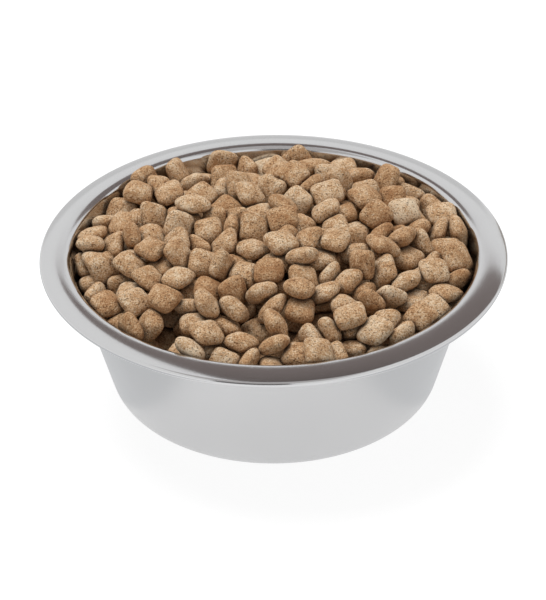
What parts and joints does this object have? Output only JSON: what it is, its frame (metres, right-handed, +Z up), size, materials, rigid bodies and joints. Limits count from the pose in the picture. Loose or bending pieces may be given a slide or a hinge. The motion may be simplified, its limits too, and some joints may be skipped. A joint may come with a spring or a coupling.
{
  "type": "pet food bowl",
  "caption": "Round stainless-steel pet food bowl with a wide rolled rim and a flat base, heaped above the rim with dry pillow-shaped kibble.",
  "frame": {"origin": "on the bowl's axis, in the plane that the flat base stands on", "axes": "+Z up along the bowl's axis; -Y towards the viewer of the picture; +X to the right"},
  "size_m": [0.216, 0.216, 0.0838],
  "materials": {
    "steel": "satin",
    "kibble": "dry and matt, baked",
    "packed_kibble": "dry and matt, baked"
  },
  "bodies": {
    "root": {"bowl": "steel", "kibble_bed": "packed_kibble", "kibble_01": "kibble", "kibble_02": "kibble", "kibble_03": "kibble", "kibble_04": "kibble", "kibble_05": "kibble", "kibble_06": "kibble", "kibble_07": "kibble", "kibble_08": "kibble", "kibble_09": "kibble", "kibble_10": "kibble", "kibble_11": "kibble", "kibble_12": "kibble", "kibble_13": "kibble", "kibble_14": "kibble", "kibble_15": "kibble", "kibble_16": "kibble", "kibble_17": "kibble", "kibble_18": "kibble", "kibble_19": "kibble", "kibble_20": "kibble", "kibble_21": "kibble", "kibble_22": "kibble", "kibble_23": "kibble", "kibble_24": "kibble", "kibble_25": "kibble", "kibble_26": "kibble", "kibble_27": "kibble", "kibble_28": "kibble", "kibble_29": "kibble", "kibble_30": "kibble", "kibble_31": "kibble", "kibble_32": "kibble", "kibble_33": "kibble", "kibble_34": "kibble", "kibble_35": "kibble", "kibble_36": "kibble", "kibble_37": "kibble", "kibble_38": "kibble", "kibble_39": "kibble", "kibble_40": "kibble", "kibble_41": "kibble", "kibble_42": "kibble", "kibble_43": "kibble", "kibble_44": "kibble", "kibble_45": "kibble", "kibble_46": "kibble", "kibble_47": "kibble", "kibble_48": "kibble", "kibble_49": "kibble", "kibble_50": "kibble", "kibble_51": "kibble", "kibble_52": "kibble", "kibble_53": "kibble", "kibble_54": "kibble", "kibble_55": "kibble", "kibble_56": "kibble", "kibble_57": "kibble", "kibble_58": "kibble"}
  },
  "joints": []
}
